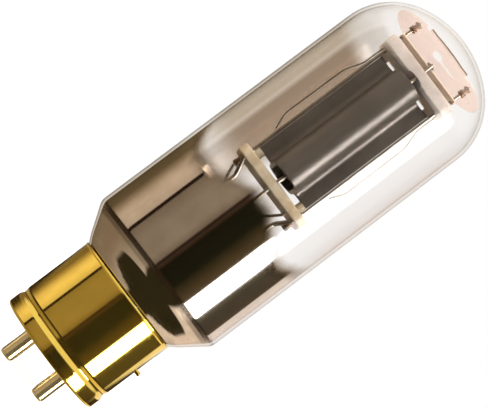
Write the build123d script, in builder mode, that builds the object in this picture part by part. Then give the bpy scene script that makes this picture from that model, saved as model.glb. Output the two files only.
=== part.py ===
"""A large glass power triode on a four-pin bayonet base, in millimetres.

The tube stands upright: +Z runs from the base to the dome, the origin is on the
axis at the seating face of the base, and the contact pins reach below it.
"""

import os
from math import atan2, degrees

from build123d import *

# Base
SHELL_R = 20.1
SHELL_WALL = 0.6
SHELL_TOP = 30.0
SKIRT_R = 20.4
SKIRT_CORNER = 0.9
GROOVE_LOW = 4.3
GROOVE_MID = 5.8
GROOVE_HIGH = 7.4
GROOVE_R = 19.7
RIM_R = 20.3
RIM_HEIGHT = 0.9
LIP_R = 17.3
LIP_THICK = 0.7
BAYONET_Z = 18.0
BAYONET_R = 0.75
BAYONET_SHANK_R = 0.55
BAYONET_REACH = 21.7
INSULATOR_R = 19.7
INSULATOR_TOP = 4.0
VENT_R = 3.0
VENT_SINK_R = 3.4
VENT_FLOOR_R = 6.0
VENT_FLOOR = 1.2
CEMENT_BOTTOM = 20.0
CEMENT_HEIGHT = 7.5

# Contact pins, on the corners of a square
PIN_R = 2.375
PIN_SHANK_R = 2.3
PIN_HALF_SPACING = 7.6
PIN_TIP = -10.1
PIN_TOP = 8.0
PIN_TIP_FILLET = 0.9
PIN_FLANGE = 0.9
PIN_BORE_R = 1.4
PIN_BORE_BOTTOM = 2.5

# Envelope
GLASS_WALL = 1.0
BULB_R = 28.1
NECK_R = 18.9
NECK_BOTTOM = 12.0
CONE_BOTTOM = 28.9
CONE_MID = (22.0, 32.5)
CONE_TOP = 41.05
CONE_FILLETS = (2.5, 12, 4.5)
DOME_BOTTOM = 136.5
DOME_HEIGHT = 23.8
BULB_TOP = DOME_BOTTOM + DOME_HEIGHT
SHOULDER_R = 22.0
SHOULDER_X = BULB_R - SHOULDER_R
CROWN_R = (DOME_HEIGHT**2 + SHOULDER_X**2 - SHOULDER_R**2) / (2 * (DOME_HEIGHT - SHOULDER_R))
DOME_JOIN = degrees(atan2(CROWN_R - DOME_HEIGHT, SHOULDER_X))
FILM_GAP = 0.03
FILM_THICK = 0.07
FILM_BOTTOM = 30.2
FILM_TOP = 86.0

# Stem
STEM_R = 9.0
STEM_BORE_R = 7.8
FLARE_R = 12.5
FLARE_UNDER_R = 11.7
FLARE_TOP = 20.0
PRESS_BOTTOM = 47.0
PRESS_FLAT = 55.0
PRESS_TOP = 62.0
PRESS_WIDTH = 18.0
PRESS_THICK = 6.4
PRESS_CORNER = PRESS_THICK * 0.45
TUBE_R = 2.5
TUBE_BORE_R = 1.7
TUBE_TIP = 7.4
LEAD_R = 0.45
LEAD_X = (3.6, 6.2)
LEAD_BEND_LOW = 8.8
LEAD_BEND_HIGH = 24.0
COLLAR_BOTTOM = 36.0
COLLAR_TOP = 42.0
COLLAR_MID = (COLLAR_BOTTOM + COLLAR_TOP) / 2
COLLAR_R = 9.75
EAR_Y = COLLAR_R + 1.6
EAR_SIZE = (3.0, 4.4)
EAR_SLIT = 1.4
BOLT_Y = COLLAR_R + 2.1
BOLT_R = 0.8
BOLT_REACH = 3.4
BOLT_HEAD_R = 1.5
BOLT_HEAD = 1.3
BOLT_HEAD_X = 1.6

# Getters
GETTER_X = 17.2
GETTER_R = 3.8
GETTER_RING_R = (3.4, 1.6)
GETTER_BOTTOM = 69.5
GETTER_HEIGHT = 1.8
GETTER_FLOOR = 0.5
GETTER_WIRE_R = 0.35
GETTER_WIRE_X = COLLAR_R + 0.4
GETTER_BEND_LOW = 60.0
GETTER_BEND_HIGH = 66.0

# Spreader plates
PLATE_DEPTH = 16.0
PLATE_CORNER = 2.2
PLATE_EDGE = 0.35
LOWER_WIDTH = 31.0
LOWER_BOTTOM = 83.6
LOWER_TOP = 86.8
UPPER_WIDTH = 29.8
UPPER_BOTTOM = 140.1
UPPER_TOP = 144.0
HOLLOW_HALF_X = 3.0
HOLLOW_DEPTH = 0.8
HOLE_PLAY = 0.04
GAP = 0.03

# Posts, rods and wires
POST_X = 12.6
POST_R = 0.55
POST_BOTTOM = 81.7
POST_TOP = 153.8
NUT_R = 1.1
NUT_BOTTOM = 80.4
POST_COLLAR_R = 1.15
ROD_R = 0.65
ROD_X = 9.45
ROD_Y = 4.5
ROD_TOP_X = 12.2
ROD_TOP_Y = 5.6
ROD_BEND = 78.6
BOW_R = 0.28
BOW_X = 15.6
BOW_END_X = POST_X + 1.0
BOW_TOP = 139.7
BOW_BENDS = (132.2, 125.8, 102.6)
BOW_BOTTOM = 97.4
STRAP_PLACE = (9.0, -2.2)
STRAP_THICK = 0.35

# Anode
ANODE_BOTTOM = 89.7
ANODE_TOP = 137.3
ANODE_HALF_X = 5.9
ANODE_HALF_Y = 13.0
ANODE_WALL = 1.4
WING_X = 11.9
WING_HALF_Y = 1.3
WING_FILLET = 2.2
ANODE_EDGE = 0.25
SPACER_X = 10.45
SPACER_R = 1.5
BRACKET_IN = 2.2
BRACKET_SLOPE = 5.2
BRACKET_LEG = 9.2
BRACKET_OUT = 12.0
BRACKET_WEB = 138.2
BRACKET_THICK = 0.4
BRACKET_DEPTH = 2 * WING_HALF_Y + 1.0

# Grid and filament
GRID_ROD_Y = 5.8
GRID_ROD_R = 0.6
GRID_ROD_BOTTOM = 79.6
GRID_ROD_TOP = 147.6
GRID_HALF_X = 2.4
GRID_HALF_Y = 6.56
GRID_WIRE_R = 0.13
GRID_TURNS = 30
GRID_FIRST = 91.7
GRID_PITCH = 1.5
FILAMENT_R = 0.18
FILAMENT_TOP = 138.3
FILAMENT_END = 88.4
FILAMENT_BEND = 89.6
FILAMENT_HOOK_Y = 2.4
FILAMENT_END_Y = 4.2
BEND_HALF = 0.5
HOOK_R = 0.25
HOOK_BENDS = (0.45, 0.45)
HOOK_TAIL = 1.1

# Filament tension
SPRING_Z = 146.8
SPRING_THICK = 0.3
SPRING_HALF_Y = 4.2
SPRING_TIP = 0.7
SPRING_END_X = POST_X + 0.9
SPRING_FOOT = 0.9
YOKE_Z = SPRING_Z + 0.4
YOKE_HALF_X = 1.5
YOKE_HALF_Y = 3.8
YOKE_THICK = 0.5

# Top mica
MICA_Z = 150.7
MICA_THICK = 0.45
MICA_R = 19.75
MICA_TAB_X = 8.6
MICA_TAB_Y = 18.9
NOTCH_X = 9.6
NOTCH_WIDTH = 1.7
NOTCH_LENGTH = 10.0
NOTCH_Y = 14.2
PEEP_R = 0.45
PEEP_PLACES = ((6.8, -1.0), (16.2, 0), (-16.2, 0))
EYELET_R = 0.8
EYELET_FLANGE_R = 1.25

os.makedirs("parts", exist_ok=True)


def save(part, name):
    """Label one finished piece and write it under its own name."""
    part.label = name
    export_step(part, f"parts/{name}.step")


def bent_wire(points, radius, bends):
    """A round wire along straight runs joined by tangent arcs."""
    with BuildPart() as wire:
        with BuildLine() as route:
            FilletPolyline(*points, radius=bends)
        with BuildSketch(Plane(origin=route.line @ 0, z_dir=route.line % 0)):
            Circle(radius)
        sweep()
    return wire.part


def upright(places, radius, bottom, top):
    """Round bars from bottom to top, one at each place."""
    with BuildPart() as bars:
        with BuildSketch(Plane.XY.offset(bottom)):
            with Locations(*places):
                Circle(radius)
        extrude(amount=top - bottom)
    return bars.part


SIDES = {"left": -1, "right": 1}
ENDS = {"front": -1, "rear": 1}


# ---------------------------------------------------------------- base shell
with BuildPart() as base_shell:
    with BuildSketch(Plane.XZ):
        with BuildLine():
            outside = FilletPolyline(
                (LIP_R, 0),
                (SKIRT_R, 0),
                (SKIRT_R, GROOVE_LOW),
                (GROOVE_R, GROOVE_MID),
                (SHELL_R, GROOVE_HIGH),
                (SHELL_R, SHELL_TOP - RIM_HEIGHT),
                radius=(SKIRT_CORNER, 2.5, 1.2, 2.5),
            )
            Polyline(
                outside @ 1,
                (RIM_R, SHELL_TOP - RIM_HEIGHT / 2),
                (RIM_R - 0.1, SHELL_TOP),
                (SHELL_R - 0.2, SHELL_TOP),
                (SHELL_R - SHELL_WALL, SHELL_TOP - 2 * RIM_HEIGHT),
                (SHELL_R - SHELL_WALL, GROOVE_HIGH),
                (GROOVE_R - SHELL_WALL, GROOVE_MID),
                (SKIRT_R - SHELL_WALL, GROOVE_LOW),
                (SKIRT_R - SHELL_WALL, LIP_THICK),
                (LIP_R, LIP_THICK),
                outside @ 0,
            )
        make_face()
    revolve(axis=Axis.Z)
    with BuildSketch(Plane.YZ.offset(SHELL_R - 2)):
        with Locations((0, BAYONET_Z)):
            Circle(BAYONET_SHANK_R + HOLE_PLAY)
    extrude(amount=4, mode=Mode.SUBTRACT)
save(base_shell.part, "base_shell")

# A thin shank through the shell's wall, and the stud that stands out of it
with BuildPart() as bayonet_pin:
    for shank_r, shank_start, shank_end in (
        (BAYONET_SHANK_R, SHELL_R - SHELL_WALL, SHELL_R + 0.02),
        (BAYONET_R, SHELL_R + 0.02, BAYONET_REACH),
    ):
        with BuildSketch(Plane.YZ.offset(shank_start)):
            with Locations((0, BAYONET_Z)):
                Circle(shank_r)
        extrude(amount=shank_end - shank_start)
    fillet(bayonet_pin.edges().group_by(Axis.X)[-1], 0.3)
save(bayonet_pin.part, "bayonet_pin")

with BuildPart() as base_insulator:
    with BuildSketch(Plane.XY.offset(LIP_THICK + 0.05)):
        Circle(INSULATOR_R)
    extrude(amount=INSULATOR_TOP - LIP_THICK - 0.05)
    with BuildSketch():
        Circle(LIP_R - 0.1)
    extrude(amount=LIP_THICK + 0.05)
    with GridLocations(2 * PIN_HALF_SPACING, 2 * PIN_HALF_SPACING, 2, 2):
        Hole(PIN_SHANK_R + HOLE_PLAY)
    with Locations((0, 0, INSULATOR_TOP)):
        CounterSinkHole(radius=VENT_R, counter_sink_radius=VENT_SINK_R)
    with BuildSketch(Plane.XY):
        Circle(VENT_FLOOR_R)
    extrude(amount=VENT_FLOOR)
    chamfer(base_insulator.edges().group_by(Axis.Z)[-1].sort_by(SortBy.LENGTH)[-1], 0.3)
save(base_insulator.part, "base_insulator")

with BuildPart() as base_cement:
    with BuildSketch(Plane.XY.offset(CEMENT_BOTTOM)):
        Circle(SHELL_R - SHELL_WALL - HOLE_PLAY)
        Circle(NECK_R + HOLE_PLAY, mode=Mode.SUBTRACT)
    extrude(amount=CEMENT_HEIGHT)
save(base_cement.part, "base_cement")

# ------------------------------------------------------------- contact pins
pin_places = [
    (x * PIN_HALF_SPACING, y * PIN_HALF_SPACING) for x, y in ((-1, -1), (1, -1), (1, 1), (-1, 1))
]
for number, (pin_x, pin_y) in enumerate(pin_places, start=1):
    with BuildPart() as contact_pin:
        for length_r, length_start, length_end in (
            (PIN_R, PIN_TIP, 0),
            (PIN_SHANK_R, 0, PIN_TOP),
            (PIN_R + PIN_FLANGE, INSULATOR_TOP + GAP, INSULATOR_TOP + GAP + PIN_FLANGE),
        ):
            with BuildSketch(Plane.XY.offset(length_start)):
                with Locations((pin_x, pin_y)):
                    Circle(length_r)
            extrude(amount=length_end - length_start)
        fillet(contact_pin.edges().group_by(Axis.Z)[0], PIN_TIP_FILLET)
        with BuildSketch(Plane.XY.offset(PIN_BORE_BOTTOM)):
            with Locations((pin_x, pin_y)):
                Circle(PIN_BORE_R)
        extrude(amount=PIN_TOP - PIN_BORE_BOTTOM, mode=Mode.SUBTRACT)
    save(contact_pin.part, f"contact_pin_{number}")


# ----------------------------------------------------------------- envelope
def bulb_inside(inset, bottom, top):
    """Everything inside the envelope's outline, moved inwards by inset, between two heights."""
    with BuildPart() as filled:
        with BuildSketch(Plane.XZ):
            with BuildLine():
                wall = FilletPolyline(
                    (NECK_R - inset, NECK_BOTTOM),
                    (NECK_R - inset, CONE_BOTTOM),
                    (CONE_MID[0] - inset * 0.8, CONE_MID[1]),
                    (BULB_R - inset, CONE_TOP + inset * 0.3),
                    (BULB_R - inset, DOME_BOTTOM),
                    radius=CONE_FILLETS,
                )
                CenterArc((SHOULDER_X, DOME_BOTTOM), SHOULDER_R - inset, 0, DOME_JOIN)
                crown = CenterArc(
                    (0, BULB_TOP - CROWN_R), CROWN_R - inset, DOME_JOIN, 90 - DOME_JOIN
                )
                Polyline(crown @ 1, (0, NECK_BOTTOM), wall @ 0)
            make_face()
        revolve(axis=Axis.Z)
        with BuildSketch(Plane.XY.offset(bottom)):
            Circle(BULB_R + 1)
        extrude(amount=top - bottom, mode=Mode.INTERSECT)
    return filled.part


save(
    bulb_inside(0, NECK_BOTTOM, BULB_TOP) - bulb_inside(GLASS_WALL, NECK_BOTTOM, BULB_TOP),
    "glass_bulb",
)
save(
    bulb_inside(GLASS_WALL + FILM_GAP, FILM_BOTTOM, FILM_TOP)
    - bulb_inside(GLASS_WALL + FILM_GAP + FILM_THICK, FILM_BOTTOM, FILM_TOP),
    "getter_film",
)

with BuildPart() as glass_stem:
    with BuildSketch(Plane.XZ):
        with BuildLine():
            flare_top = FilletPolyline(
                (STEM_R, PRESS_BOTTOM),
                (STEM_R, FLARE_TOP),
                (FLARE_R, NECK_BOTTOM),
                (NECK_R, NECK_BOTTOM),
                radius=(6, 3),
            )
            flare_under = FilletPolyline(
                (NECK_R, NECK_BOTTOM - GLASS_WALL),
                (FLARE_UNDER_R, NECK_BOTTOM - GLASS_WALL),
                (STEM_BORE_R, FLARE_TOP - 0.4),
                (STEM_BORE_R, PRESS_BOTTOM),
                radius=(4.2, 4.8),
            )
            Line(flare_top @ 1, flare_under @ 0)
            Line(flare_under @ 1, flare_top @ 0)
        make_face()
    revolve(axis=Axis.Z)
    with BuildSketch(Plane.XY.offset(PRESS_BOTTOM)):
        Circle(STEM_R)
    with BuildSketch(Plane.XY.offset(PRESS_FLAT)):
        RectangleRounded(PRESS_WIDTH, PRESS_THICK, PRESS_CORNER)
    loft()
    with BuildSketch(Plane.XY.offset(PRESS_FLAT)):
        RectangleRounded(PRESS_WIDTH, PRESS_THICK, PRESS_CORNER)
    extrude(amount=PRESS_TOP - PRESS_FLAT)
    fillet(glass_stem.edges().group_by(Axis.Z)[-1], 0.8)
    with Locations(*[(side * x, 0, PRESS_TOP) for side in (-1, 1) for x in LEAD_X]):
        Hole(LEAD_R + HOLE_PLAY, depth=PRESS_TOP - PRESS_BOTTOM + 1)
save(glass_stem.part, "glass_stem")

with BuildPart() as exhaust_tube:
    with BuildSketch(Plane.XZ):
        with BuildLine():
            Polyline(
                (TUBE_BORE_R, PRESS_BOTTOM - 0.05),
                (TUBE_R, PRESS_BOTTOM - 0.05),
                (TUBE_R, NECK_BOTTOM),
                (TUBE_R - 1.6, TUBE_TIP + 0.8),
                (0, TUBE_TIP),
                (0, TUBE_TIP + 1.8),
                (TUBE_BORE_R, NECK_BOTTOM + 1),
                close=True,
            )
        make_face()
    revolve(axis=Axis.Z)
save(exhaust_tube.part, "exhaust_tube")

# ------------------------------------------------------------ stem hardware
with BuildPart() as stem_collar:
    with BuildSketch(Plane.XY.offset(COLLAR_BOTTOM)):
        Circle(COLLAR_R)
        with Locations((0, EAR_Y)):
            Rectangle(*EAR_SIZE)
        Circle(STEM_R + HOLE_PLAY, mode=Mode.SUBTRACT)
        with Locations((0, COLLAR_R)):
            Rectangle(EAR_SLIT, 8.0, mode=Mode.SUBTRACT)
    extrude(amount=COLLAR_TOP - COLLAR_BOTTOM)
    with BuildSketch(Plane.YZ.offset(-BOLT_REACH)):
        with Locations((BOLT_Y, COLLAR_MID)):
            Circle(BOLT_R + HOLE_PLAY)
    extrude(amount=2 * BOLT_REACH, mode=Mode.SUBTRACT)
save(stem_collar.part, "stem_collar")

with BuildPart() as collar_bolt:
    with BuildSketch(Plane.YZ.offset(-BOLT_REACH)):
        with Locations((BOLT_Y, COLLAR_MID)):
            Circle(BOLT_R)
    extrude(amount=2 * BOLT_REACH)
    for head_start in (-BOLT_HEAD_X - BOLT_HEAD, BOLT_HEAD_X):
        with BuildSketch(Plane.YZ.offset(head_start)):
            with Locations((BOLT_Y, COLLAR_MID)):
                RegularPolygon(BOLT_HEAD_R, 6)
        extrude(amount=BOLT_HEAD)
save(collar_bolt.part, "collar_bolt")

for side_name, side in SIDES.items():
    for end_name, end in ENDS.items():
        rod_route = (
            (side * ROD_X, end * ROD_Y, COLLAR_BOTTOM),
            (side * ROD_X, end * ROD_Y, ROD_BEND),
            (side * ROD_TOP_X, end * ROD_TOP_Y, LOWER_BOTTOM - 0.3),
            (side * ROD_TOP_X, end * ROD_TOP_Y, LOWER_TOP + 0.5),
        )
        save(
            bent_wire(rod_route, ROD_R, (4, 1.6)),
            f"support_rod_{side_name}_{end_name}",
        )

    getter_route = (
        (side * GETTER_WIRE_X, 0, COLLAR_BOTTOM + 0.5),
        (side * GETTER_WIRE_X, 0, GETTER_BEND_LOW),
        (side * GETTER_X, 0, GETTER_BEND_HIGH),
        (side * GETTER_X, 0, GETTER_BOTTOM - 0.1),
    )
    save(bent_wire(getter_route, GETTER_WIRE_R, (3, 1.5)), f"getter_wire_{side_name}")
    with BuildPart() as getter_cup:
        with BuildSketch(Plane.XY.offset(GETTER_BOTTOM)):
            with Locations((side * GETTER_X, 0)):
                Circle(GETTER_R)
        extrude(amount=GETTER_HEIGHT)
        with BuildSketch(Plane.XY.offset(GETTER_BOTTOM + GETTER_FLOOR)):
            with Locations((side * GETTER_X, 0)):
                Circle(GETTER_RING_R[0])
                Circle(GETTER_RING_R[1], mode=Mode.SUBTRACT)
        extrude(amount=GETTER_HEIGHT, mode=Mode.SUBTRACT)
    save(getter_cup.part, f"getter_cup_{side_name}")

# ------------------------------------------------------------------- leads
# Each lead runs from a pin's bore, through the press, to its electrode.
lead_ends = {
    "anode_lead": (
        pin_places[3],
        -LEAD_X[1],
        ((-LEAD_X[1], 0, 66.0), (-11.0, 0, 76.4), (-POST_X, 0, NUT_BOTTOM - 0.25)),
    ),
    "grid_lead": (
        pin_places[1],
        LEAD_X[1],
        ((LEAD_X[1], 0, 66.0), (4.7, -1.0, 75.9), (*STRAP_PLACE, 82.7), (*STRAP_PLACE, LOWER_TOP + 0.05)),
    ),
    "filament_lead_a": (
        pin_places[0],
        -LEAD_X[0],
        (
            (-LEAD_X[0], 0, 65.5),
            (0, -FILAMENT_END_Y, 76.4),
            (0, -FILAMENT_END_Y, FILAMENT_END - GAP),
        ),
    ),
    "filament_lead_b": (
        pin_places[2],
        LEAD_X[0],
        (
            (LEAD_X[0], 0, 65.5),
            (0, FILAMENT_END_Y, 76.4),
            (0, FILAMENT_END_Y, FILAMENT_END - GAP),
        ),
    ),
}
for lead_name, ((pin_x, pin_y), press_x, rest) in lead_ends.items():
    lead_route = (
        (pin_x, pin_y, PIN_BORE_BOTTOM + 0.2),
        (pin_x, pin_y, LEAD_BEND_LOW),
        (press_x, 0, LEAD_BEND_HIGH),
        *rest,
    )
    lead_bends = (3, 3) + (2,) * (len(rest) - 1)
    save(bent_wire(lead_route, LEAD_R, lead_bends), lead_name)

# --------------------------------------------------------- spreader plates
post_places = [(-POST_X, 0), (POST_X, 0)]
grid_places = [(0, -GRID_ROD_Y), (0, GRID_ROD_Y)]
lead_places = [(0, -FILAMENT_END_Y), (0, FILAMENT_END_Y)]
hook_places = [(-BEND_HALF, -FILAMENT_HOOK_Y), (-BEND_HALF, FILAMENT_HOOK_Y)]
rod_places = [(side * ROD_TOP_X, end * ROD_TOP_Y) for side in (-1, 1) for end in (-1, 1)]

with BuildPart() as lower_ceramic:
    with BuildSketch(Plane.XY.offset(LOWER_BOTTOM)):
        RectangleRounded(LOWER_WIDTH, PLATE_DEPTH, PLATE_CORNER)
        with Locations(*post_places):
            Circle(POST_R + HOLE_PLAY, mode=Mode.SUBTRACT)
        with Locations(*grid_places):
            Circle(GRID_ROD_R + HOLE_PLAY, mode=Mode.SUBTRACT)
        with Locations(*lead_places, STRAP_PLACE):
            Circle(LEAD_R + HOLE_PLAY, mode=Mode.SUBTRACT)
        with Locations(*rod_places):
            Circle(ROD_R + HOLE_PLAY + 0.12, mode=Mode.SUBTRACT)
        with Locations((-BEND_HALF, 0)):
            Circle(HOOK_R + HOLE_PLAY, mode=Mode.SUBTRACT)
    extrude(amount=LOWER_TOP - LOWER_BOTTOM)
    chamfer(lower_ceramic.faces().sort_by(Axis.Z)[-1].outer_wire().edges(), PLATE_EDGE)
    chamfer(lower_ceramic.faces().sort_by(Axis.Z)[0].outer_wire().edges(), PLATE_EDGE)
save(lower_ceramic.part, "lower_ceramic")

with BuildPart() as upper_ceramic:
    with BuildSketch(Plane.XY.offset(UPPER_BOTTOM)):
        RectangleRounded(UPPER_WIDTH, PLATE_DEPTH, PLATE_CORNER)
        with Locations(*post_places):
            Circle(POST_R + HOLE_PLAY, mode=Mode.SUBTRACT)
        with Locations(*grid_places):
            Circle(GRID_ROD_R + HOLE_PLAY, mode=Mode.SUBTRACT)
        with Locations(*hook_places):
            Circle(HOOK_R + 0.08, mode=Mode.SUBTRACT)
    extrude(amount=UPPER_TOP - UPPER_BOTTOM)
    chamfer(upper_ceramic.faces().sort_by(Axis.Z)[-1].outer_wire().edges(), PLATE_EDGE)
    chamfer(upper_ceramic.faces().sort_by(Axis.Z)[0].outer_wire().edges(), PLATE_EDGE)
    with BuildSketch(Plane.XZ.offset(-PLATE_DEPTH)):
        with Locations((0, UPPER_BOTTOM)):
            Ellipse(HOLLOW_HALF_X, HOLLOW_DEPTH)
    extrude(amount=2 * PLATE_DEPTH, mode=Mode.SUBTRACT)
save(upper_ceramic.part, "upper_ceramic")

# ------------------------------------------------------- posts and hardware
for side_name, side in SIDES.items():
    save(
        upright([(side * POST_X, 0)], POST_R, POST_BOTTOM, POST_TOP),
        f"side_post_{side_name}",
    )
    bow_route = (
        (side * BOW_END_X, 0, BOW_TOP),
        (side * BOW_END_X, 0, BOW_BENDS[0]),
        (side * BOW_X, 0, BOW_BENDS[1]),
        (side * (BOW_X + 0.15), 0, BOW_BENDS[2]),
        (side * BOW_END_X, 0, BOW_BOTTOM),
    )
    save(bent_wire(bow_route, BOW_R, (5, 8, 8)), f"side_bow_wire_{side_name}")

with BuildPart() as post_end_nuts:
    with BuildSketch(Plane.XY.offset(NUT_BOTTOM)):
        with Locations(*post_places):
            RegularPolygon(NUT_R, 6)
    extrude(amount=POST_BOTTOM - NUT_BOTTOM - 0.02)
    with BuildSketch(Plane.XY.offset(POST_BOTTOM - 0.02)):
        with Locations(*post_places):
            Circle(NUT_R - 0.1)
            Circle(POST_R + HOLE_PLAY, mode=Mode.SUBTRACT)
    extrude(amount=LOWER_BOTTOM - POST_BOTTOM)
save(post_end_nuts.part, "post_end_nuts")

with BuildPart() as upper_post_collars:
    with BuildSketch(Plane.XY.offset(UPPER_TOP + 0.02)):
        with Locations(*post_places):
            Circle(POST_COLLAR_R)
            Circle(POST_R + HOLE_PLAY, mode=Mode.SUBTRACT)
    extrude(amount=POST_COLLAR_R)
save(upper_post_collars.part, "upper_post_collars")

# -------------------------------------------------------------------- anode
with BuildPart() as anode:
    with BuildSketch(Plane.XY.offset(ANODE_BOTTOM)) as anode_section:
        SlotOverall(2 * ANODE_HALF_Y, 2 * ANODE_HALF_X, rotation=90)
        Rectangle(2 * WING_X, 2 * WING_HALF_Y)
        creases = anode_section.vertices().filter_by(
            lambda v: abs(abs(v.X) - ANODE_HALF_X) < 0.01 and abs(abs(v.Y) - WING_HALF_Y) < 0.01
        )
        fillet(creases, WING_FILLET)
        SlotOverall(
            2 * (ANODE_HALF_Y - ANODE_WALL),
            2 * (ANODE_HALF_X - ANODE_WALL),
            rotation=90,
            mode=Mode.SUBTRACT,
        )
    extrude(amount=ANODE_TOP - ANODE_BOTTOM)
    chamfer(anode.faces().sort_by(Axis.Z)[-1].outer_wire().edges(), ANODE_EDGE)
    chamfer(anode.faces().sort_by(Axis.Z)[0].outer_wire().edges(), ANODE_EDGE)
save(anode.part, "anode")

for side_name, side in SIDES.items():
    spacer_bottom = LOWER_TOP + 0.02
    save(
        upright([(side * SPACER_X, 0)], SPACER_R, spacer_bottom, ANODE_BOTTOM - 0.02),
        f"anode_spacer_{side_name}",
    )
    with BuildPart() as anode_bracket:
        with BuildSketch(Plane.XZ.offset(WING_HALF_Y + 0.45)):
            with BuildLine():
                Polyline(
                    (side * BRACKET_IN, UPPER_BOTTOM - 0.05),
                    (side * BRACKET_OUT, UPPER_BOTTOM - 0.05),
                    (side * BRACKET_OUT, ANODE_TOP + GAP),
                    (side * BRACKET_LEG, ANODE_TOP + GAP),
                    (side * BRACKET_LEG, BRACKET_WEB),
                    (side * BRACKET_SLOPE, BRACKET_WEB + 0.5),
                    (side * BRACKET_IN, UPPER_BOTTOM - 0.5),
                    close=True,
                )
            make_face()
        extrude(amount=BRACKET_THICK)
        for flange_z, flange_in in (
            (UPPER_BOTTOM - 0.05 - BRACKET_THICK, BRACKET_IN),
            (ANODE_TOP + GAP, BRACKET_LEG),
        ):
            with BuildSketch(Plane.XY.offset(flange_z)):
                with Locations((side * (flange_in + BRACKET_OUT) / 2, 0)):
                    Rectangle(BRACKET_OUT - flange_in, BRACKET_DEPTH)
            extrude(amount=BRACKET_THICK)
    save(anode_bracket.part, f"anode_bracket_{side_name}")

# --------------------------------------------------------------------- grid
for end_name, end in ENDS.items():
    save(
        upright([(0, end * GRID_ROD_Y)], GRID_ROD_R, GRID_ROD_BOTTOM, GRID_ROD_TOP),
        f"grid_rod_{end_name}",
    )

with BuildPart() as grid_winding:
    for turn in range(GRID_TURNS):
        turn_z = GRID_FIRST + turn * GRID_PITCH
        with BuildLine(Plane.XY.offset(turn_z)):
            turn_path = EllipticalCenterArc((0, 0), GRID_HALF_X, GRID_HALF_Y, arc_size=360)
        with BuildSketch(Plane(origin=(GRID_HALF_X, 0, turn_z), z_dir=(0, 1, 0))):
            Circle(GRID_WIRE_R)
        sweep(path=turn_path)
save(grid_winding.part, "grid_winding")

with BuildPart() as grid_strap:
    strap_ends = ((STRAP_PLACE, 1.1, LEAD_R), ((0, -GRID_ROD_Y), 0.85, GRID_ROD_R))
    with BuildSketch(Plane.XY.offset(LOWER_TOP + 0.02)):
        for strap_place, strap_r, _ in strap_ends:
            with Locations(strap_place):
                Circle(strap_r)
        make_hull()
        for strap_place, _, hole_r in strap_ends:
            with Locations(strap_place):
                Circle(hole_r + HOLE_PLAY, mode=Mode.SUBTRACT)
    extrude(amount=STRAP_THICK)
save(grid_strap.part, "grid_strap")

# ----------------------------------------------------------------- filament
# One wire in the plane between the grid rods: up, over a hook, down, under the
# anchor, up, over the other hook and down.
filament_route = [(0, -FILAMENT_END_Y, FILAMENT_END)]
for hook_y in (-FILAMENT_HOOK_Y, FILAMENT_HOOK_Y):
    filament_route += [
        (0, hook_y - BEND_HALF, FILAMENT_TOP),
        (0, hook_y + BEND_HALF, FILAMENT_TOP),
    ]
    if hook_y < 0:
        filament_route += [(0, -BEND_HALF, FILAMENT_BEND), (0, BEND_HALF, FILAMENT_BEND)]
filament_route += [(0, FILAMENT_END_Y, FILAMENT_END)]
filament_bends = (BEND_HALF * 0.9,) * (len(filament_route) - 2)
save(bent_wire(filament_route, FILAMENT_R, filament_bends), "filament")

anchor_bottom = FILAMENT_BEND + FILAMENT_R + HOOK_R + 0.05
anchor_route = (
    (-BEND_HALF, 0, LOWER_BOTTOM - 0.8),
    (-BEND_HALF, 0, anchor_bottom),
    (BEND_HALF, 0, anchor_bottom),
    (BEND_HALF, 0, anchor_bottom - HOOK_TAIL),
)
save(bent_wire(anchor_route, HOOK_R, HOOK_BENDS), "filament_anchor")

hook_bottom = FILAMENT_TOP - FILAMENT_R - HOOK_R - 0.05
with BuildPart() as filament_yoke:
    with BuildSketch(Plane.XY.offset(YOKE_Z)):
        RectangleRounded(2 * YOKE_HALF_X, 2 * YOKE_HALF_Y, 0.6)
    extrude(amount=YOKE_THICK)
    for hook_y in (-FILAMENT_HOOK_Y, FILAMENT_HOOK_Y):
        with BuildLine() as hook_route:
            FilletPolyline(
                (-BEND_HALF, hook_y, YOKE_Z + YOKE_THICK / 2),
                (-BEND_HALF, hook_y, hook_bottom),
                (BEND_HALF, hook_y, hook_bottom),
                (BEND_HALF, hook_y, hook_bottom + HOOK_TAIL),
                radius=HOOK_BENDS,
            )
        with BuildSketch(Plane(origin=hook_route.line @ 0, z_dir=hook_route.line % 0)):
            Circle(HOOK_R)
        sweep()
save(filament_yoke.part, "filament_yoke")

for side_name, side in SIDES.items():
    with BuildPart() as tension_spring:
        with BuildSketch(Plane.XZ.offset(-SPRING_HALF_Y)):
            with BuildLine():
                Polyline(
                    (side * SPRING_TIP, SPRING_Z),
                    (side * SPRING_END_X, SPRING_Z),
                    (side * SPRING_END_X, SPRING_Z - SPRING_FOOT),
                    (side * (SPRING_END_X - SPRING_THICK), SPRING_Z - SPRING_FOOT),
                    (side * (SPRING_END_X - SPRING_THICK), SPRING_Z - SPRING_THICK),
                    (side * SPRING_TIP, SPRING_Z - SPRING_THICK),
                    close=True,
                )
            make_face()
        extrude(amount=2 * SPRING_HALF_Y)
        with BuildSketch(Plane.XY.offset(SPRING_Z + 1)):
            with Locations((side * POST_X, 0)):
                Circle(POST_R + HOLE_PLAY)
            with Locations(*grid_places):
                Circle(GRID_ROD_R + 0.15)
        extrude(amount=-4, mode=Mode.SUBTRACT)
    save(tension_spring.part, f"tension_spring_{side_name}")

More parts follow.
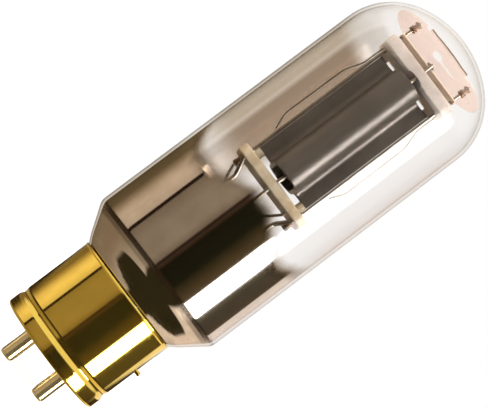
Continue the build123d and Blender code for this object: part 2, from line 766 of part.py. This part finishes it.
# ----------------------------------------------------------------- top mica
with BuildPart() as top_mica:
    with BuildSketch(Plane.XY.offset(MICA_Z)):
        Circle(MICA_R)
        with GridLocations(2 * NOTCH_X, 2 * NOTCH_Y + NOTCH_LENGTH, 2, 2):
            Rectangle(NOTCH_WIDTH, NOTCH_LENGTH, mode=Mode.SUBTRACT)
        Rectangle(2 * MICA_TAB_X, 2 * MICA_TAB_Y)
        with Locations(*post_places):
            Circle(EYELET_R + HOLE_PLAY, mode=Mode.SUBTRACT)
        with Locations(*PEEP_PLACES):
            Circle(PEEP_R, mode=Mode.SUBTRACT)
    extrude(amount=MICA_THICK)
save(top_mica.part, "top_mica")

with BuildPart() as mica_eyelets:
    for eyelet_z, eyelet_r, eyelet_height in (
        (MICA_Z - 0.45, EYELET_FLANGE_R, 0.42),
        (MICA_Z - 0.1, EYELET_R, 2.5),
        (MICA_Z + MICA_THICK + GAP, EYELET_FLANGE_R, 0.4),
        (MICA_Z + 2.0, EYELET_FLANGE_R, 0.6),
    ):
        with BuildSketch(Plane.XY.offset(eyelet_z)):
            with Locations(*post_places):
                Circle(eyelet_r)
                Circle(POST_R + HOLE_PLAY, mode=Mode.SUBTRACT)
        extrude(amount=eyelet_height)
save(mica_eyelets.part, "mica_eyelets")
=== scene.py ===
"""Looks and studio for a glass power triode on a gold-plated four-pin base.

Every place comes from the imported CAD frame, in metres: +Z runs up the tube's axis,
the origin is at the seating face of the base, and the camera stands on the -Y side.
"""

import math

import bpy
from mathutils import Matrix, Vector


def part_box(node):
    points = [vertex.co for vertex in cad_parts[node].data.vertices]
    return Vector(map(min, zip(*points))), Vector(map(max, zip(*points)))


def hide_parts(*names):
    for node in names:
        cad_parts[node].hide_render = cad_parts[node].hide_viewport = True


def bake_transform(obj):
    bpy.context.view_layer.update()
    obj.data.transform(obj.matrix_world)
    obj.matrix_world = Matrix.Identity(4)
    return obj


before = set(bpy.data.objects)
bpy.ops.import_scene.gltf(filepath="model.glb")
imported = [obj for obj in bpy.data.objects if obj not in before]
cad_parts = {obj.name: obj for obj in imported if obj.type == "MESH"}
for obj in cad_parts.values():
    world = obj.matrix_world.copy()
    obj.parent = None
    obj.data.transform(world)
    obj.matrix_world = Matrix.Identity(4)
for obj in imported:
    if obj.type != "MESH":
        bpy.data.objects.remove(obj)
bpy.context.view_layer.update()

MM = 0.001
# Heights on the bulb, above the seating face
FILM_EDGE_LOW = 63 * MM
FILM_EDGE_SPAN = 18 * MM
PAINTED_REFLECTION_BOTTOM = 78 * MM
PAINTED_REFLECTION_TOP = 133 * MM
CONE_MID_Z = 35.3 * MM
DOME_TOP_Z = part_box("glass_bulb")[1].z
PIN_TIP_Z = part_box("contact_pin_1")[0].z
# The glass: tints of one crossing of one face, and its mirroring when seen square on
CLEAR_TONE = (0.99, 0.985, 0.98)
# Painted reflection: a brown tint laid on the glass for the brown surround it mirrors and shows
# through
PAINTED_REFLECTION_BROWN = (0.62, 0.545, 0.47)
RIM_TONE = (0.35, 0.31, 0.27)
GLASS_MIRROR = 0.018
# The camera
LEAN_DEGREES = 37.0
EYE = (0.0, -0.460, 0.036)
TARGET = (-0.00099, 0.0, 0.07543)
LENS = 110.2


# ------------------------------------------------------------ node helpers
class Graph:
    """A material's node tree, with short calls for making and linking nodes."""

    def __init__(self, tree):
        self.tree = tree
        tree.nodes.clear()

    def node(self, kind, inputs=None, **settings):
        made = self.tree.nodes.new(kind)
        for key, value in settings.items():
            setattr(made, key, value)
        for key, value in (inputs or {}).items():
            if isinstance(value, bpy.types.NodeSocket):
                self.tree.links.new(value, made.inputs[key])
            else:
                made.inputs[key].default_value = value
        return made

    def math(self, operation, a, b=0.0, c=0.0, clamp=False):
        made = self.node("ShaderNodeMath", {0: a, 1: b, 2: c}, operation=operation)
        made.use_clamp = clamp
        return made.outputs[0]

    def ramp(self, factor, stops, interpolation="LINEAR"):
        made = self.node("ShaderNodeValToRGB", {"Fac": factor})
        made.color_ramp.interpolation = interpolation
        elements = made.color_ramp.elements
        for _ in range(len(stops) - 2):
            elements.new(0.5)
        for element, (place, colour) in zip(elements, stops):
            element.position = place
        for element, (place, colour) in zip(elements, stops):
            element.color = (*colour, 1.0)
        return made.outputs["Color"]

    def remap(self, value, low, high, to_low=0.0, to_high=1.0, smooth=False):
        kind = "SMOOTHSTEP" if smooth else "LINEAR"
        made = self.node(
            "ShaderNodeMapRange",
            {"Value": value, 1: low, 2: high, 3: to_low, 4: to_high},
            interpolation_type=kind,
        )
        return made.outputs[0]

    def mix(self, factor, a, b, blend="MIX"):
        made = self.node("ShaderNodeMix", data_type="RGBA", blend_type=blend)
        for key, value in ((0, factor), (6, a), (7, b)):
            if isinstance(value, bpy.types.NodeSocket):
                self.tree.links.new(value, made.inputs[key])
            elif key == 0:
                made.inputs[0].default_value = value
            else:
                made.inputs[key].default_value = (*value, 1.0)
        return made.outputs[2]

    def noise(self, vector, scale, detail=3.0, roughness=0.55):
        made = self.node(
            "ShaderNodeTexNoise",
            {"Vector": vector, "Scale": scale, "Detail": detail, "Roughness": roughness},
        )
        return made.outputs["Fac"]

    def stretched(self, vector, scale):
        made = self.node("ShaderNodeMapping", {"Vector": vector, "Scale": scale})
        return made.outputs["Vector"]

    def bump(self, height, strength, distance):
        made = self.node(
            "ShaderNodeBump", {"Height": height, "Strength": strength, "Distance": distance}
        )
        return made.outputs["Normal"]

    def position(self):
        """Object coordinates: a CAD node's own frame is the tube's frame."""
        return self.node("ShaderNodeTexCoord").outputs["Object"]

    def parts(self, vector):
        made = self.node("ShaderNodeSeparateXYZ", {"Vector": vector})
        return made.outputs[0], made.outputs[1], made.outputs[2]

    def azimuth(self, vector):
        """Angle round the axis in turns: 0.5 towards the front, rising towards +X."""
        x, y, _ = self.parts(vector)
        angle = self.math("ARCTAN2", x, self.math("MULTIPLY", y, -1.0))
        return self.math("MULTIPLY_ADD", angle, 0.5 / math.pi, 0.5)

    def surface(self, shader):
        self.node("ShaderNodeOutputMaterial", {"Surface": shader})


def new_material(name):
    material = bpy.data.materials.new(name)
    material.use_nodes = True
    return material, Graph(material.node_tree)


def paint(material, *nodes):
    """Give CAD nodes this material in every slot."""
    for name in nodes:
        for material_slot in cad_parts[name].material_slots:
            material_slot.material = material


def named(*starts):
    return [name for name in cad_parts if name.startswith(starts)]


# --------------------------------------------------------------- materials
def gold(name, colour, roughness, metallic=0.988):
    """Polished gold plate: faint drawing lines round the axis, hairline scratches, dulled spots."""
    material, g = new_material(name)
    place = g.position()
    lines = g.noise(g.stretched(place, (1, 1, 40)), 90, 4)
    scratches = g.noise(g.stretched(place, (9, 9, 1)), 220, 5, 0.7)
    wear = g.noise(place, 160, 5, 0.6)
    rough = g.math("MULTIPLY_ADD", g.remap(wear, 0.45, 0.75), 0.10, roughness)
    tone = g.mix(g.remap(wear, 0.35, 0.7), colour, tuple(c * 0.9 for c in colour))
    height = g.math("ADD", lines, g.math("MULTIPLY", scratches, 0.4))
    shader = g.node(
        "ShaderNodeBsdfPrincipled",
        {
            "Base Color": tone,
            "Metallic": metallic,
            "Roughness": rough,
            "Normal": g.bump(height, 0.05, 0.00005),
        },
    )
    g.surface(shader.outputs[0])
    return material


def metal(name, colour, dark, roughness, streaks=(14, 14, 1), metallic=1.0):
    """Drawn metal: lengthwise streaks, and a heat tint that comes and goes."""
    material, g = new_material(name)
    place = g.position()
    drawn = g.noise(g.stretched(place, streaks), 260, 4)
    tint = g.remap(g.noise(place, 120, 3), 0.4, 0.68)
    rough = g.math("MULTIPLY_ADD", drawn, 0.18, roughness - 0.06)
    shader = g.node(
        "ShaderNodeBsdfPrincipled",
        {
            "Base Color": g.mix(tint, colour, dark),
            "Metallic": metallic,
            "Roughness": rough,
            "Normal": g.bump(drawn, 0.12, 0.00005),
        },
    )
    g.surface(shader.outputs[0])
    return material


def graphite():
    """Machined graphite: a satin black-brown with fine grain and lengthwise cutter marks."""
    material, g = new_material("graphite_satin")
    place = g.position()
    grain = g.noise(place, 2600, 5, 0.7)
    marks = g.noise(g.stretched(place, (1, 1, 0.04)), 900, 4, 0.6)
    cloud = g.noise(place, 70, 4)
    tone = g.mix(g.remap(cloud, 0.3, 0.7), (0.070, 0.056, 0.044), (0.112, 0.092, 0.074))
    height = g.math("ADD", grain, g.math("MULTIPLY", marks, 0.8))
    shader = g.node(
        "ShaderNodeBsdfPrincipled",
        {
            "Base Color": tone,
            "Metallic": 0.5,
            "Roughness": g.math("MULTIPLY_ADD", marks, 0.05, 0.33),
            "IOR": 1.6,
            "Specular IOR Level": 1.0,
            "Normal": g.bump(height, 0.10, 0.00008),
        },
    )
    g.surface(shader.outputs[0])
    return material


def ceramic(name, colour, shade):
    """Unglazed pressed ceramic: fine pores, a soft mottle and a little soot."""
    material, g = new_material(name)
    place = g.position()
    pores = g.noise(place, 1900, 5, 0.7)
    mottle = g.noise(place, 190, 5, 0.65)
    tone = g.mix(g.remap(mottle, 0.38, 0.66), colour, shade)
    tone = g.mix(g.remap(pores, 0.58, 0.75, 0.0, 0.35), tone, tuple(c * 0.5 for c in shade))
    shader = g.node(
        "ShaderNodeBsdfPrincipled",
        {
            "Base Color": tone,
            "Roughness": g.math("MULTIPLY_ADD", pores, 0.2, 0.45),
            "Subsurface Weight": 0.8,
            "Subsurface Radius": (1.0, 0.8, 0.6),
            "Subsurface Scale": 6 * MM,
            "Normal": g.bump(pores, 0.25, 0.0001),
        },
    )
    g.surface(shader.outputs[0])
    return material


def facing_share(g, floor, power):
    """How much a thin pane mirrors: floor where seen square on, rising to 1 at its edge."""
    facing = g.node("ShaderNodeLayerWeight", {"Blend": 0.5}).outputs["Facing"]
    return g.math("MULTIPLY_ADD", g.math("POWER", facing, power), 1.0 - floor, floor, clamp=True)


def bulb_glass():
    """Thin blown glass with a painted reflection: a brown tint on the -X side, mostly on the rear
    wall.

    The tint and the low mirroring square on are fitted, not measured properties of glass.
    """
    material, g = new_material("bulb_glass")
    place = g.position()
    _, _, z = g.parts(place)
    turn = g.azimuth(place)
    # Painted reflection: brown and pale bands round the bulb, laid on as a tint of the glass.
    # Turns run from the rear (0) over -X (0.25), the front (0.5) and +X (0.75).
    painted_tint = g.ramp(
        turn,
        [
            (0.030, CLEAR_TONE),
            (0.075, PAINTED_REFLECTION_BROWN),
            (0.145, PAINTED_REFLECTION_BROWN),
            (0.153, (0.90, 0.86, 0.81)),
            (0.162, (0.79, 0.735, 0.66)),
            (0.215, (0.85, 0.80, 0.73)),
            (0.300, (0.90, 0.88, 0.85)),
            (0.380, (0.90, 0.87, 0.84)),
            (0.440, (0.97, 0.96, 0.95)),
            (0.560, CLEAR_TONE),
            (0.720, (0.985, 0.965, 0.955)),
            (0.900, CLEAR_TONE),
        ],
    )
    cloud = g.noise(g.stretched(place, (1, 1, 0.3)), 40, 3)
    top_z = g.math("MULTIPLY_ADD", cloud, 8 * MM, PAINTED_REFLECTION_TOP)
    fade = g.remap(g.math("SUBTRACT", z, top_z), -4 * MM, 3 * MM, 0.0, 0.75, smooth=True)
    high = g.remap(z, DOME_TOP_Z - 20 * MM, DOME_TOP_Z - 10 * MM, smooth=True)
    low = g.remap(z, PAINTED_REFLECTION_BOTTOM, PAINTED_REFLECTION_BOTTOM + 12 * MM, 0.55, 0.0, smooth=True)
    low = g.math("MULTIPLY", low, g.remap(z, PAINTED_REFLECTION_BOTTOM - 13 * MM, PAINTED_REFLECTION_BOTTOM, smooth=True))
    bare = g.math("MAXIMUM", g.math("MAXIMUM", fade, low), high)
    painted_tint = g.mix(bare, painted_tint, CLEAR_TONE)
    facing = g.node("ShaderNodeLayerWeight", {"Blend": 0.5}).outputs["Facing"]
    rim = g.math("MULTIPLY", g.math("POWER", facing, 3.0), 0.05)
    rim = g.math("MULTIPLY", rim, g.math("MULTIPLY_ADD", high, -0.75, 1.0))
    painted_tint = g.mix(rim, painted_tint, RIM_TONE)
    ripple = g.noise(g.stretched(place, (1, 1, 0.25)), 60, 2)
    normal = g.bump(ripple, 0.25, 0.0004)
    clear = g.node("ShaderNodeBsdfTransparent", {"Color": painted_tint})
    # The glass's mirroring is dimmed by the same painted tint.
    tint_squared = g.mix(1.0, painted_tint, painted_tint, "MULTIPLY")
    gloss = g.node(
        "ShaderNodeBsdfGlossy",
        {"Color": g.mix(1.0, tint_squared, tint_squared, "MULTIPLY"), "Roughness": 0.02, "Normal": normal},
    )
    shader = g.node(
        "ShaderNodeMixShader",
        {0: facing_share(g, GLASS_MIRROR, 6.5), 1: clear.outputs[0], 2: gloss.outputs[0]},
    )
    g.surface(shader.outputs[0])
    return material


def getter_mirror():
    """The flashed mirror: solid low down, thinning through a brown haze at an uneven edge."""
    material, g = new_material("getter_mirror")
    place = g.position()
    _, _, z = g.parts(place)
    turn = g.azimuth(place)
    # The edge's height round the bulb, in hundredths of FILM_EDGE_SPAN above FILM_EDGE_LOW.
    heights = (
        (0.00, 50), (0.16, 60), (0.25, 95), (0.31, 70), (0.365, 38), (0.41, 40), (0.45, 58),
        (0.49, 78), (0.53, 78), (0.56, 62), (0.59, 46), (0.62, 28), (0.66, 47), (0.70, 62),
        (0.76, 68), (0.86, 50), (1.00, 50),
    )
    edge = g.ramp(turn, [(where, (high / 100,) * 3) for where, high in heights])
    wander = g.noise(g.stretched(place, (1, 1, 0.5)), 55, 3)
    edge_z = g.math("MULTIPLY_ADD", edge, FILM_EDGE_SPAN, FILM_EDGE_LOW)
    edge_z = g.math("ADD", edge_z, g.math("MULTIPLY_ADD", wander, 6 * MM, -3 * MM))
    above = g.math("SUBTRACT", z, edge_z)
    solid = g.remap(above, -3.5 * MM, 2.5 * MM, 1.0, 0.0, smooth=True)
    haze = g.remap(above, -3 * MM, 6 * MM, 1.0, 0.0, smooth=True)
    tint = g.mix(haze, (1.0, 1.0, 1.0), (0.60, 0.54, 0.47))
    clear = g.node("ShaderNodeBsdfTransparent", {"Color": tint})
    mottle = g.noise(place, 140, 4)
    tone = g.mix(g.remap(mottle, 0.35, 0.7), (0.86, 0.80, 0.73), (0.75, 0.69, 0.62))
    # Shading only: the CAD's cone is straight. Its mirror's normal is tilted up towards both
    # ends, so that what it reflects closes into an ellipse as on a rounded cone.
    ripple = g.bump(g.noise(place, 45, 2), 0.08, 0.0004)
    _, _, lean = g.parts(g.node("ShaderNodeNewGeometry").outputs["Normal"])
    away = g.math("ABSOLUTE", g.math("SUBTRACT", z, CONE_MID_Z))
    level = g.remap(away, 1.2 * MM, 4.2 * MM, 0.0, 0.34, smooth=True)
    level = g.math("MULTIPLY", level, g.math("MULTIPLY", lean, -1.7, clamp=True))
    lift = g.node("ShaderNodeCombineXYZ", {"Z": level})
    raised = g.node("ShaderNodeVectorMath", {0: ripple, 1: lift.outputs[0]}, operation="ADD")
    belly = g.node("ShaderNodeVectorMath", {0: raised.outputs[0]}, operation="NORMALIZE")
    shine = g.node(
        "ShaderNodeBsdfPrincipled",
        {
            "Base Color": tone,
            "Metallic": 1.0,
            "Roughness": g.math("MULTIPLY_ADD", mottle, 0.05, 0.03),
            "Normal": belly.outputs[0],
        },
    )
    shader = g.node("ShaderNodeMixShader", {0: solid, 1: clear.outputs[0], 2: shine.outputs[0]})
    g.surface(shader.outputs[0])
    return material


def mica():
    """Split mica: rosy, cloudy, brown at its front edge, with one clear patch for a highlight."""
    material, g = new_material("mica_sheet")
    place = g.position()
    x, y, _ = g.parts(place)
    cloud = g.remap(g.noise(place, 110, 4), 0.35, 0.7)
    flakes = g.noise(g.stretched(place, (1, 1, 6)), 420, 5)
    ragged = g.math("MULTIPLY_ADD", g.noise(place, 500, 3), 1.2, -0.6)

    def patch(middle_x, middle_y, half_x, half_y):
        across = g.math("DIVIDE", g.math("SUBTRACT", x, middle_x * MM), half_x * MM)
        along = g.math("DIVIDE", g.math("SUBTRACT", y, middle_y * MM), half_y * MM)
        reach = g.math("ADD", g.math("POWER", across, 2.0), g.math("POWER", along, 2.0))
        return g.remap(g.math("ADD", reach, ragged), 0.5, 1.3, 1.0, 0.0, smooth=True)

    # Painted highlight: a clear, near-white patch of the sheet where a glare lies on the mica.
    highlight_patch = g.math("MAXIMUM", patch(-1.2, -3.6, 2.2, 4.6), patch(2.6, -2.6, 5.2, 1.3))
    front = g.remap(y, -18.6 * MM, -16.0 * MM, 1.0, 0.0, smooth=True)
    _, _, up = g.parts(g.node("ShaderNodeNewGeometry").outputs["Normal"])
    edge = g.math("LESS_THAN", g.math("ABSOLUTE", up), 0.5)
    cut = g.math("MULTIPLY", edge, front)
    tone = g.mix(cloud, (0.93, 0.74, 0.64), (0.96, 0.84, 0.77))
    tone = g.mix(front, tone, (0.66, 0.47, 0.35))
    tone = g.mix(cut, tone, (0.16, 0.10, 0.06))
    tint = g.mix(highlight_patch, (0.99, 0.91, 0.87), (1.0, 0.99, 0.98))
    clear = g.node("ShaderNodeBsdfTransparent", {"Color": tint})
    sheet = g.node(
        "ShaderNodeBsdfPrincipled",
        {
            "Base Color": tone,
            "Roughness": g.math("MULTIPLY_ADD", flakes, 0.2, 0.08),
            "Specular IOR Level": 0.8,
            "Normal": g.bump(flakes, 0.08, 0.0001),
        },
    )
    cover = g.math("MULTIPLY_ADD", cloud, 0.10, 0.12)
    cover = g.math("MAXIMUM", cover, g.math("MULTIPLY", front, 0.32))
    cover = g.math("MULTIPLY", cover, g.math("SUBTRACT", 1.0, highlight_patch))
    cover = g.math("MAXIMUM", cover, cut)
    shader = g.node("ShaderNodeMixShader", {0: cover, 1: clear.outputs[0], 2: sheet.outputs[0]})
    g.surface(shader.outputs[0])
    return material


def stem_glass():
    """Pressed lead glass of the stem, a little grey-green and wavy."""
    material, g = new_material("stem_glass")
    place = g.position()
    waves = g.noise(place, 120, 3)
    clear = g.node("ShaderNodeBsdfTransparent", {"Color": (0.80, 0.84, 0.82, 1)})
    gloss = g.node(
        "ShaderNodeBsdfGlossy",
        {"Color": (1, 1, 1, 1), "Roughness": 0.05, "Normal": g.bump(waves, 0.4, 0.0005)},
    )
    shader = g.node(
        "ShaderNodeMixShader",
        {0: facing_share(g, 0.08, 4.0), 1: clear.outputs[0], 2: gloss.outputs[0]},
    )
    g.surface(shader.outputs[0])
    return material


paint(gold("gold_plate", (1.0, 0.70, 0.13), 0.045), "base_shell", "bayonet_pin")
paint(gold("gold_pins", (1.0, 0.80, 0.43), 0.09, 0.90), *named("contact_pin"))
paint(ceramic("base_steatite", (0.80, 0.77, 0.70), (0.66, 0.62, 0.54)), "base_insulator")
paint(ceramic("basing_cement", (0.42, 0.38, 0.31), (0.30, 0.26, 0.21)), "base_cement")
paint(bulb_glass(), "glass_bulb")
paint(stem_glass(), "glass_stem", "exhaust_tube")
paint(getter_mirror(), "getter_film")
paint(ceramic("upper_steatite", (0.47, 0.43, 0.40), (0.37, 0.33, 0.30)), "upper_ceramic")
paint(
    ceramic("lower_steatite", (0.49, 0.41, 0.30), (0.34, 0.265, 0.17)),
    "lower_ceramic",
    *named("anode_spacer"),
)
paint(graphite(), "anode")
paint(mica(), "top_mica")
paint(
    metal("spring_copper", (1.0, 0.86, 0.70), (0.82, 0.64, 0.49), 0.50, (1, 14, 14), 0.35),
    *named("tension_spring"),
)
paint(
    metal("tungsten_wire", (0.42, 0.40, 0.37), (0.30, 0.27, 0.24), 0.32),
    "filament",
    "filament_anchor",
    "filament_yoke",
    "grid_winding",
)
paint(
    metal("lead_wire", (0.50, 0.44, 0.36), (0.33, 0.27, 0.21), 0.34),
    *named("anode_lead", "grid_lead", "filament_lead"),
)
paint(
    metal("nickel", (0.62, 0.57, 0.50), (0.44, 0.38, 0.31), 0.27),
    *named("support_rod", "side_post", "side_bow", "grid_rod", "getter_cup", "getter_wire"),
    *named("anode_bracket", "stem_collar", "collar_bolt", "grid_strap"),
    "upper_post_collars",
)
paint(
    metal("aged_brass", (0.30, 0.19, 0.10), (0.15, 0.085, 0.045), 0.36),
    *named("post_end_nuts", "mica_eyelets"),
)


# ------------------------------------------------------------ flexing pieces
def flexing(node):
    """Stand in for a CAD wire or leaf between the tube and the yoke with a copy of its mesh that
    keeps its materials; the CAD part is hidden.
    """
    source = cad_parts[node]
    piece = bpy.data.objects.new(node + "_flexing", source.data.copy())
    bpy.context.scene.collection.objects.link(piece)
    for ours, theirs in zip(piece.material_slots, source.material_slots):
        ours.link = "OBJECT"
        ours.material = theirs.material
    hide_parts(node)
    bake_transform(piece)


flexing("filament")
for spring in named("tension_spring"):
    flexing(spring)


# ------------------------------------------------------------------ studio
def studio_world():
    """White for the camera and for soft fill; what shines sees a ring of light and dark cards.

    The cards are set for the view from the front; only glossy rays see them.
    """
    world = bpy.data.worlds.new("studio")
    world.use_nodes = True
    bpy.context.scene.world = world
    g = Graph(world.node_tree)
    direction = g.node("ShaderNodeTexCoord").outputs["Generated"]
    line, rust, taupe = (0.02, 0.010, 0.005), (0.022, 0.009, 0.004), (0.31, 0.25, 0.18)
    strip_lamp = (13.0, 13.0, 13.0)
    # Degrees round the tube from the front, + towards +X. Between stops the cards shade into
    # each other, and stops close together make a hard edge.
    cards = [
        (-180, (0.19, 0.145, 0.07)),
        (-127, (0.21, 0.16, 0.09)),
        (-116, (0.43, 0.34, 0.22)),
        (-103, (0.82, 0.70, 0.55)),
        (-94, (0.96, 0.83, 0.68)),
        (-85, (0.92, 0.80, 0.64)),
        (-73, (0.70, 0.59, 0.47)),
        (-72, line),
        (-67, line),
        (-66, (0.26, 0.21, 0.155)),
        (-50, taupe),
        (-20, taupe),
        (-10.5, (0.22, 0.165, 0.115)),
        (-9.5, rust),
        (-7.5, rust),
        (-6, (0.055, 0.035, 0.022)),
        (-2.5, (0.045, 0.024, 0.013)),
        (0, (0.012, 0.010, 0.004)),
        (26, (0.013, 0.012, 0.005)),
        (42, (0.070, 0.048, 0.019)),
        (54.5, (0.11, 0.080, 0.045)),
        (55.5, strip_lamp),
        (82, strip_lamp),
        (84, (0.18, 0.16, 0.11)),
        (96, (0.080, 0.069, 0.048)),
        (128, (0.080, 0.062, 0.038)),
        (131, (1.0, 0.94, 0.86)),
        (180, (0.90, 0.85, 0.80)),
    ]
    stops = [(0.5 + degrees_round / 360, colour) for degrees_round, colour in cards]
    ring = g.ramp(g.azimuth(direction), stops)
    _, _, up = g.parts(direction)
    overhead = g.remap(up, 0.21, 0.42, smooth=True)
    ring = g.mix(overhead, ring, (0.9, 0.87, 0.82))
    # Below the ring: a dark table edge, then its beige top with a dark shape lying on it,
    # joined to the edge by a neck.
    # Each direction is placed by the slope of the surface that mirrors it to the front.
    halfway = g.node("ShaderNodeVectorMath", {0: direction, 1: (0, -1, 0)}, operation="ADD")
    slope = g.node("ShaderNodeVectorMath", {0: halfway.outputs[0]}, operation="NORMALIZE")
    across, _, tilt = g.parts(slope.outputs[0])
    wide = g.math("POWER", g.math("DIVIDE", g.math("SUBTRACT", across, 0.16), 0.60), 2.0)
    tall = g.math("POWER", g.math("DIVIDE", g.math("ADD", tilt, 0.60), 0.17), 2.0)
    shape = g.remap(g.math("ADD", wide, tall), 0.85, 1.1, 1.0, 0.0, smooth=True)
    aside = g.math("ABSOLUTE", g.math("SUBTRACT", across, 0.16))
    neck = g.remap(g.math("ADD", aside, g.math("MULTIPLY", tilt, -0.35)), 0.34, 0.40, 1.0, 0.0)
    shape = g.math("MAXIMUM", shape, g.math("MULTIPLY", neck, g.math("GREATER_THAN", tilt, -0.5)))
    beige = g.mix(g.remap(across, -0.5, 0.7), (0.40, 0.32, 0.22), (0.95, 0.80, 0.62))
    table = g.mix(shape, beige, (0.034, 0.027, 0.010))
    table = g.mix(g.remap(tilt, -0.20, -0.32, smooth=True), (0.030, 0.020, 0.009), table)
    ring = g.mix(g.remap(tilt, -0.05, -0.10, smooth=True), ring, table)
    path = g.node("ShaderNodeLightPath")
    seen = g.mix(path.outputs["Is Glossy Ray"], (1.0, 1.0, 1.0), ring)
    background = g.node("ShaderNodeBackground", {"Color": seen, "Strength": 1.0})
    g.node("ShaderNodeOutputWorld", {"Surface": background.outputs[0]})


def soft_light(name, place, aim, size, power, colour):
    """A soft rectangular lamp that lights the scene but isn't mirrored."""
    lamp = bpy.data.lights.new(name, "AREA")
    lamp.shape = "RECTANGLE"
    lamp.size, lamp.size_y = size
    lamp.energy = power
    lamp.color = colour
    holder = bpy.data.objects.new(name, lamp)
    bpy.context.scene.collection.objects.link(holder)
    holder.location = place
    holder.rotation_euler = (Vector(aim) - Vector(place)).to_track_quat("-Z", "Y").to_euler()
    holder.visible_glossy = False
    return holder


def pale_floor():
    """A wide pale floor under the pins' tips, fading into the white surround."""
    bpy.ops.mesh.primitive_circle_add(
        vertices=96, radius=1.5, fill_type="NGON", location=(0, 0, PIN_TIP_Z)
    )
    floor = bpy.context.object
    floor.name = "floor"
    floor.visible_glossy = False
    material, g = new_material("pale_floor")
    speckle = g.noise(g.position(), 300, 3)
    matte = g.node(
        "ShaderNodeBsdfDiffuse",
        {"Color": g.mix(speckle, (0.84, 0.84, 0.83), (0.88, 0.88, 0.87)), "Roughness": 0.6},
    )
    glow = g.node("ShaderNodeEmission", {"Color": (1, 1, 1, 1), "Strength": 0.45})
    shader = g.node("ShaderNodeAddShader", {0: matte.outputs[0], 1: glow.outputs[0]})
    g.surface(shader.outputs[0])
    floor.data.materials.append(material)


def photo_camera():
    """A level camera on the -Y side, rolled so that the tube leans to the upper right."""
    eye = Vector(EYE)
    forward = (Vector(TARGET) - eye).normalized()
    level_right = forward.cross(Vector((0, 0, 1))).normalized()
    level_up = level_right.cross(forward)
    # The tube's axis is drawn LEAN_DEGREES above the picture's horizontal.
    turn = math.radians(90 - LEAN_DEGREES)
    right = level_right * math.cos(turn) + level_up * math.sin(turn)
    up = level_up * math.cos(turn) - level_right * math.sin(turn)
    camera = bpy.data.objects.new("camera", bpy.data.cameras.new("camera"))
    bpy.context.scene.collection.objects.link(camera)
    camera.matrix_world = Matrix.Translation(eye) @ Matrix(
        (
            (right.x, up.x, -forward.x, 0),
            (right.y, up.y, -forward.y, 0),
            (right.z, up.z, -forward.z, 0),
            (0, 0, 0, 1),
        )
    )
    camera.data.sensor_width = 36.0
    camera.data.lens = LENS
    camera.data.clip_start = 0.01
    camera.data.clip_end = 10.0
    bpy.context.scene.camera = camera


studio_world()
soft_light("key", (0.45, -0.55, 0.50), (0, 0, 0.09), (0.5, 0.6), 6.0, (1.0, 0.98, 0.95))
soft_light("fill", (-0.55, -0.35, 0.35), (0, 0, 0.09), (0.6, 0.6), 2.5, (1.0, 0.95, 0.90))
pale_floor()
photo_camera()

bpy.context.scene.view_settings.view_transform = "Standard"
bpy.context.scene.view_settings.look = "None"
bpy.context.scene.cycles.transparent_max_bounces = 48
bpy.context.scene.cycles.max_bounces = 16
